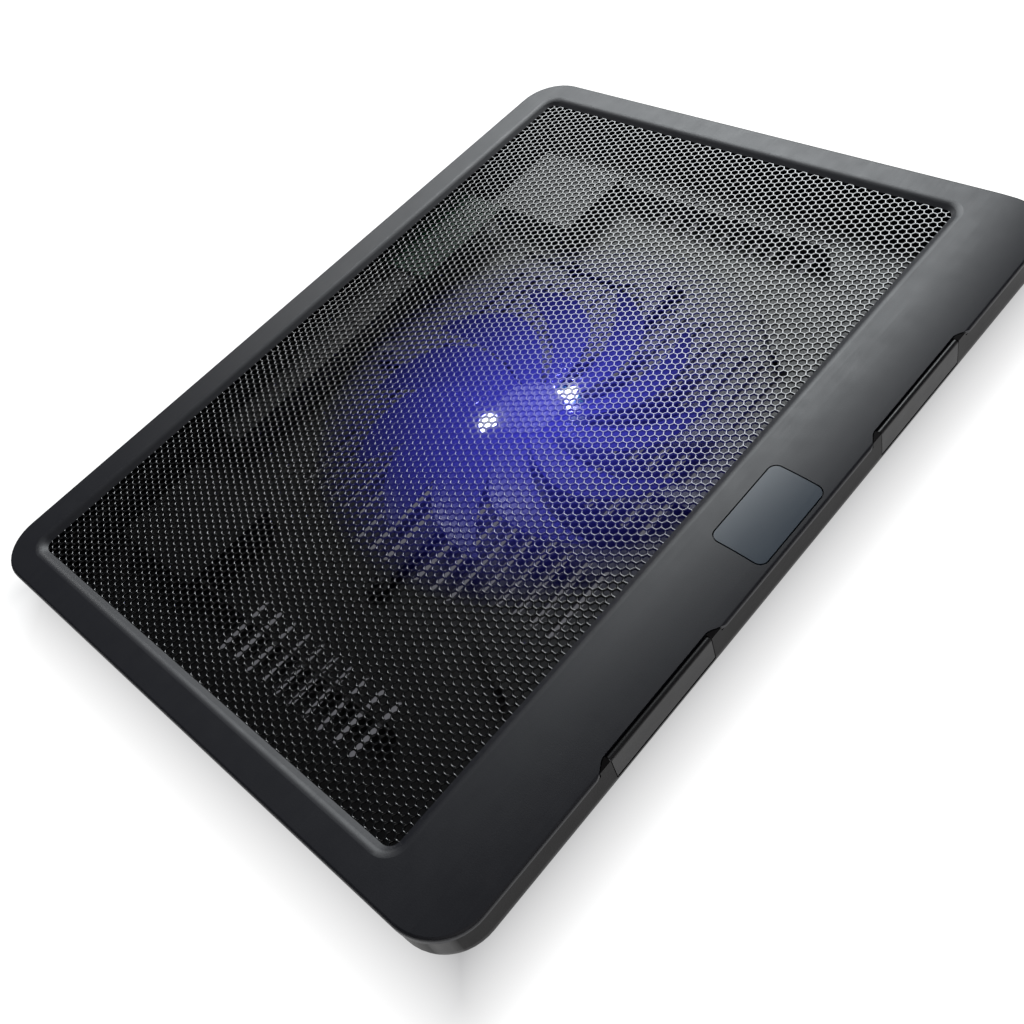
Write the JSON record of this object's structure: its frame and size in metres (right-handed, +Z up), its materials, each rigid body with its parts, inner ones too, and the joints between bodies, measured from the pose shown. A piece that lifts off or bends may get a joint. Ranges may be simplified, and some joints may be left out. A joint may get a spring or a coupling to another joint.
{
  "type": "laptop cooling pad",
  "caption": "Flat laptop cooling pad: charcoal plastic tray with a black perforated metal top sheet over one large lit fan, flip-up front stops and fold-out rear legs.",
  "frame": {"origin": "on the surface the pad stands on, below the centre of its plan", "axes": "+X along the long side, +Y from the user's edge to the rear, +Z up through the top sheet"},
  "size_m": [0.344, 0.261, 0.024],
  "materials": {
    "cover_plastic": "fine-textured matte charcoal ABS",
    "badge_plastic": "satin slate ABS",
    "mesh_steel": "gloss black powder coat",
    "shell_plastic": "fine-textured black ABS",
    "stop_plastic": "fine-textured black ABS",
    "leg_plastic": "fine-textured black ABS",
    "foot_rubber": "matt black rubber",
    "pin_steel": "plain drawn steel",
    "screw_steel": "black oxide steel",
    "fan_plastic": "smoky translucent polycarbonate",
    "fan_base_plastic": "black PBT",
    "bearing_brass": "sintered bronze",
    "stator_steel": "laminated steel",
    "coil_copper": "enamelled copper wire",
    "magnet_ferrite": "bonded ferrite",
    "yoke_steel": "drawn steel",
    "circuit_green": "solder mask",
    "led_lens": "clear epoxy",
    "socket_steel": "nickel-plated steel",
    "socket_plastic": "moulded nylon",
    "contact_gold": "gold flash",
    "lead_jacket": "PVC insulation"
  },
  "bodies": {
    "pad": {"top_cover": "cover_plastic", "mesh_panel": "mesh_steel", "badge_plate": "badge_plastic", "bottom_shell": "shell_plastic", "case_screws": "screw_steel", "fan_base": "fan_base_plastic", "fan_screws": "screw_steel", "bearing_sleeve": "bearing_brass", "fan_circuit_board": "circuit_green", "stator_core": "stator_steel", "stator_coils": "coil_copper", "led_left": "led_lens", "led_right": "led_lens", "usb_board": "circuit_green", "board_screws": "screw_steel", "usb_contacts": "contact_gold", "fan_lead": "lead_jacket", "stop_pin_left": "pin_steel", "leg_pin_left": "pin_steel", "usb_shell_left": "socket_steel", "usb_tongue_left": "socket_plastic", "foot_front_left": "foot_rubber", "foot_rear_left": "foot_rubber", "stop_pin_right": "pin_steel", "leg_pin_right": "pin_steel", "usb_shell_right": "socket_steel", "usb_tongue_right": "socket_plastic", "foot_front_right": "foot_rubber", "foot_rear_right": "foot_rubber"},
    "rotor": {"impeller": "fan_plastic", "rotor_yoke": "yoke_steel", "magnet_ring": "magnet_ferrite", "fan_shaft": "pin_steel", "shaft_clip": "pin_steel"},
    "leg_left": {"leg_left": "leg_plastic", "leg_tip_left": "foot_rubber"},
    "stop_left": {"stop_left": "stop_plastic"},
    "leg_right": {"leg_right": "leg_plastic", "leg_tip_right": "foot_rubber"},
    "stop_right": {"stop_right": "stop_plastic"}
  },
  "joints": [
    {"name": "fan_spin", "type": "hinge", "parent": "pad", "child": "rotor", "pos_m": [0, -0.0083, 0.015], "axis": [0, 0, 1], "continuous": true},
    {"name": "leg_left_fold", "type": "hinge", "parent": "pad", "child": "leg_left", "pos_m": [-0.112, 0.0929, 0.0069], "axis": [1, 0, 0], "range_deg": [0, 100]},
    {"name": "leg_right_fold", "type": "hinge", "parent": "pad", "child": "leg_right", "pos_m": [0.112, 0.0929, 0.0069], "axis": [1, 0, 0], "range_deg": [0, 100]},
    {"name": "stop_left_flip", "type": "hinge", "parent": "pad", "child": "stop_left", "pos_m": [-0.0725, -0.129, 0.0203], "axis": [-1, 0, 0], "range_deg": [0, 180]},
    {"name": "stop_right_flip", "type": "hinge", "parent": "pad", "child": "stop_right", "pos_m": [0.0725, -0.129, 0.0203], "axis": [-1, 0, 0], "range_deg": [0, 180]}
  ]
}
